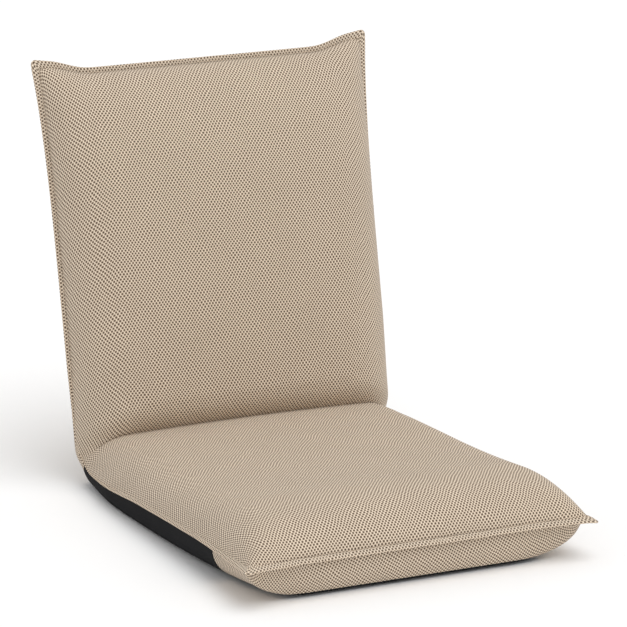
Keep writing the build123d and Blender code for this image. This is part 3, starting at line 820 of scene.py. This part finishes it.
def base_cloth_material():
    """Plain black felt-like cloth."""
    material, tree, shader = base_material("non_slip_cloth")
    uv = tree.nodes.new("ShaderNodeUVMap")
    fuzz = noise(tree, uv.outputs["UV"], 1400, 4)
    broad = noise(tree, uv.outputs["UV"], 30)
    tone = math_node(tree, "ADD", math_node(tree, "MULTIPLY", fuzz, 0.5),
                     math_node(tree, "MULTIPLY", broad, 0.5))
    colour = mix_colour(tree, tone, (0.004, 0.004, 0.005, 1), (0.013, 0.013, 0.014, 1))
    tree.links.new(colour, shader.inputs["Base Color"])
    rough = math_node(tree, "ADD", math_node(tree, "MULTIPLY", fuzz, 0.2), 0.7)
    tree.links.new(rough, shader.inputs["Roughness"])
    shader.inputs["Specular IOR Level"].default_value = 0.12
    bump_into(tree, shader, fuzz, strength=0.4, distance=0.6 * MM)
    return material


mesh_cloth = mesh_material("mesh_cloth", False)
lip_cloth = mesh_material("lip_cloth", True)
black_cloth = base_cloth_material()
for piece, material in ((upper_cover, mesh_cloth), (rear_cover, mesh_cloth), (front_wrap, mesh_cloth),
                        (seam_lip, lip_cloth), (base_cloth, black_cloth)):
    piece.data.materials.append(material)

# %% [markdown]
# Nothing of the inside shows, but a folded or opened model may still be looked into, so the steel,
# the straps and the rivets get plain finishes: painted tube with worn patches, bright zinc on the
# stamped plates, darker hardened teeth, and woven elastic. The wear is one shared group.

# %% Finishes for the pieces inside


def wear_group():
    group, entry, exit_node = new_group(
        "worn_finish",
        [("Coat", "NodeSocketColor", (0.03, 0.03, 0.03, 1)),
         ("Bare", "NodeSocketColor", (0.5, 0.5, 0.5, 1)),
         ("Wear", "NodeSocketFloat", 0.4)],
        [("Color", "NodeSocketColor"), ("Roughness", "NodeSocketFloat"), ("Height", "NodeSocketFloat")])
    coords = group.nodes.new("ShaderNodeTexCoord")
    scratch = noise(group, coords.outputs["Object"], 260, 5)
    patch = noise(group, coords.outputs["Object"], 35, 3)
    mask = math_node(group, "MULTIPLY", ramp_between(group, patch, 0.52, 0.75), entry.outputs["Wear"])
    colour = mix_colour(group, mask, entry.outputs["Coat"], entry.outputs["Bare"])
    rough = math_node(group, "ADD", math_node(group, "MULTIPLY", scratch, 0.3), 0.25)
    group.links.new(colour, exit_node.inputs["Color"])
    group.links.new(rough, exit_node.inputs["Roughness"])
    group.links.new(scratch, exit_node.inputs["Height"])
    return group


worn_finish = wear_group()


def metal_material(name, coat, bare, wear, metallic):
    material, tree, shader = base_material(name)
    finish = tree.nodes.new("ShaderNodeGroup")
    finish.node_tree = worn_finish
    finish.inputs["Coat"].default_value = (*coat, 1)
    finish.inputs["Bare"].default_value = (*bare, 1)
    finish.inputs["Wear"].default_value = wear
    tree.links.new(finish.outputs["Color"], shader.inputs["Base Color"])
    tree.links.new(finish.outputs["Roughness"], shader.inputs["Roughness"])
    shader.inputs["Metallic"].default_value = metallic
    bump_into(tree, shader, finish.outputs["Height"], strength=0.1, distance=0.2 * MM)
    return material


def strap_material():
    """Woven elastic, with its threads crossing as two waves, in radians per metre."""
    weave_across, weave_along = 3140, 2100
    material, tree, shader = base_material("woven_elastic")
    coords = tree.nodes.new("ShaderNodeTexCoord")
    split = tree.nodes.new("ShaderNodeSeparateXYZ")
    tree.links.new(coords.outputs["Object"], split.inputs[0])
    wave_x = math_node(tree, "SINE", math_node(tree, "MULTIPLY", split.outputs[0], weave_across))
    wave_y = math_node(tree, "SINE", math_node(tree, "MULTIPLY", split.outputs[1], weave_along))
    crossing = math_node(tree, "MULTIPLY", wave_x, wave_y)
    weave = math_node(tree, "ADD", math_node(tree, "MULTIPLY", crossing, 0.5), 0.5)
    colour = mix_colour(tree, weave, (0.62, 0.60, 0.55, 1), (0.82, 0.80, 0.76, 1))
    tree.links.new(colour, shader.inputs["Base Color"])
    shader.inputs["Roughness"].default_value = 0.85
    bump_into(tree, shader, weave, strength=0.5, distance=0.4 * MM)
    return material


painted_tube = metal_material("painted_tube", (0.025, 0.025, 0.028), (0.45, 0.45, 0.46), 0.35, 0.0)
zinc_plate = metal_material("zinc_plate", (0.62, 0.63, 0.65), (0.45, 0.45, 0.46), 0.6, 1.0)
hard_steel = metal_material("hard_steel", (0.30, 0.30, 0.31), (0.48, 0.48, 0.49), 0.5, 1.0)
bright_rivet = metal_material("bright_rivet", (0.70, 0.70, 0.71), (0.5, 0.5, 0.5), 0.3, 1.0)
elastic = strap_material()
finishes = {"tube": painted_tube, "cross_bar": painted_tube, "strap": elastic, "plate": zinc_plate,
            "tang": zinc_plate, "ratchet": hard_steel, "pawl": hard_steel, "rivets": bright_rivet,
            "pivot": bright_rivet, "pin": bright_rivet, "post": bright_rivet, "spring": hard_steel}
for name, node in frame["nodes"].items():
    for word, material in finishes.items():
        if word in name:
            node.data.materials.clear()
            node.data.materials.append(material)

# %% [markdown]
# The upper panel, the rear panel, the base cloth and the lip all cross the hinge; each has its
# placement baked into its mesh. The front wrap is tied to the seat. Each pawl's spring, which runs from
# its post to the pawl that it pushes, is copied as a leaf spring with its placement baked in.

# %% Bake the pieces that cross the hinge and tie the wrap to the seat
for piece in (upper_cover, seam_lip):
    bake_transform(piece)
for piece in (rear_cover, base_cloth):
    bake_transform(piece)
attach(front_wrap, "seat")
for side in ("left", "right"):
    solid = bpy.data.objects[f"pawl_spring_{side}"]
    leaf = bpy.data.objects.new(f"leaf_spring_{side}", solid.data.copy())
    bpy.context.scene.collection.objects.link(leaf)
    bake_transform(leaf)
    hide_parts(f"pawl_spring_{side}")
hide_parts("seat_top_cover", "back_front_cover", "seat_foam_upper", "back_foam_front")
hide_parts("back_rear_cover", "back_foam_rear")
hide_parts("seat_base_cloth", "heel_cover", "heel_foam", "seat_foam_lower")
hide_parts("seat_front_wrap")
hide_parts("seat_seam_lip", "back_seam_lip")

# %% [markdown]
# The camera stands where the photographer's did: a long lens, well to the chair's right side and
# a little above it. Its place was found by fitting the chair's outline to the photo's.

# %% Camera
camera_aside, camera_ahead, camera_height = 2.0157, 4.4267, 1.4964
camera_down, camera_turn = 15.01, 25.57
camera_data = bpy.data.cameras.new("camera")
camera_data.sensor_width = 36
camera_data.lens = 241.1
camera = bpy.data.objects.new("camera", camera_data)
camera.location = Vector((-camera_aside, hinge.y - camera_ahead, camera_height))
camera.rotation_euler = (math.radians(90 - camera_down), 0, math.radians(-camera_turn))
camera_data.clip_start, camera_data.clip_end = 0.1, 60
bpy.context.scene.collection.objects.link(camera)
bpy.context.scene.camera = camera

# %% [markdown]
# The chair stands on a white floor in soft light. The floor keeps a faint shadow under the chair. The
# world is full white to the camera and lights more weakly from all round. A broad lamp, high up and a
# little to the camera's right, gives the forms their shape.

# %% Floor, light and view
floor_half = 6
world_light = 0.66
key_aim, key_level, key_spread = (-0.15, 0.38, -1), 0.42, 50
floor_bm = bmesh.new()
bmesh.ops.create_grid(floor_bm, x_segments=1, y_segments=1, size=floor_half)
floor_mesh = bpy.data.meshes.new("floor")
floor_bm.to_mesh(floor_mesh)
floor_bm.free()
floor = bpy.data.objects.new("floor", floor_mesh)
bpy.context.scene.collection.objects.link(floor)
floor_material, floor_tree, floor_shader = base_material("floor")
floor_shader.inputs["Base Color"].default_value = (1, 1, 1, 1)
floor_shader.inputs["Roughness"].default_value = 0.9
floor_shader.inputs["Specular IOR Level"].default_value = 0.1
floor.data.materials.append(floor_material)

world = bpy.data.worlds.new("studio")
world.use_nodes = True
bpy.context.scene.world = world
background = world.node_tree.nodes["Background"]
rays = world.node_tree.nodes.new("ShaderNodeLightPath")
strength = math_node(world.node_tree, "MAXIMUM", rays.outputs["Is Camera Ray"], world_light)
background.inputs["Color"].default_value = (1, 1, 1, 1)
world.node_tree.links.new(strength, background.inputs["Strength"])


def soft_sun(name, aim, level, spread):
    """A broad far light. Level is the share of full white it adds on a surface that faces it."""
    data = bpy.data.lights.new(name, "SUN")
    data.energy = level * math.pi
    data.angle = math.radians(spread)
    lamp = bpy.data.objects.new(name, data)
    lamp.rotation_euler = Vector(aim).to_track_quat("-Z", "Y").to_euler()
    bpy.context.scene.collection.objects.link(lamp)


soft_sun("key", key_aim, key_level, key_spread)
bpy.context.scene.view_settings.view_transform = "Standard"
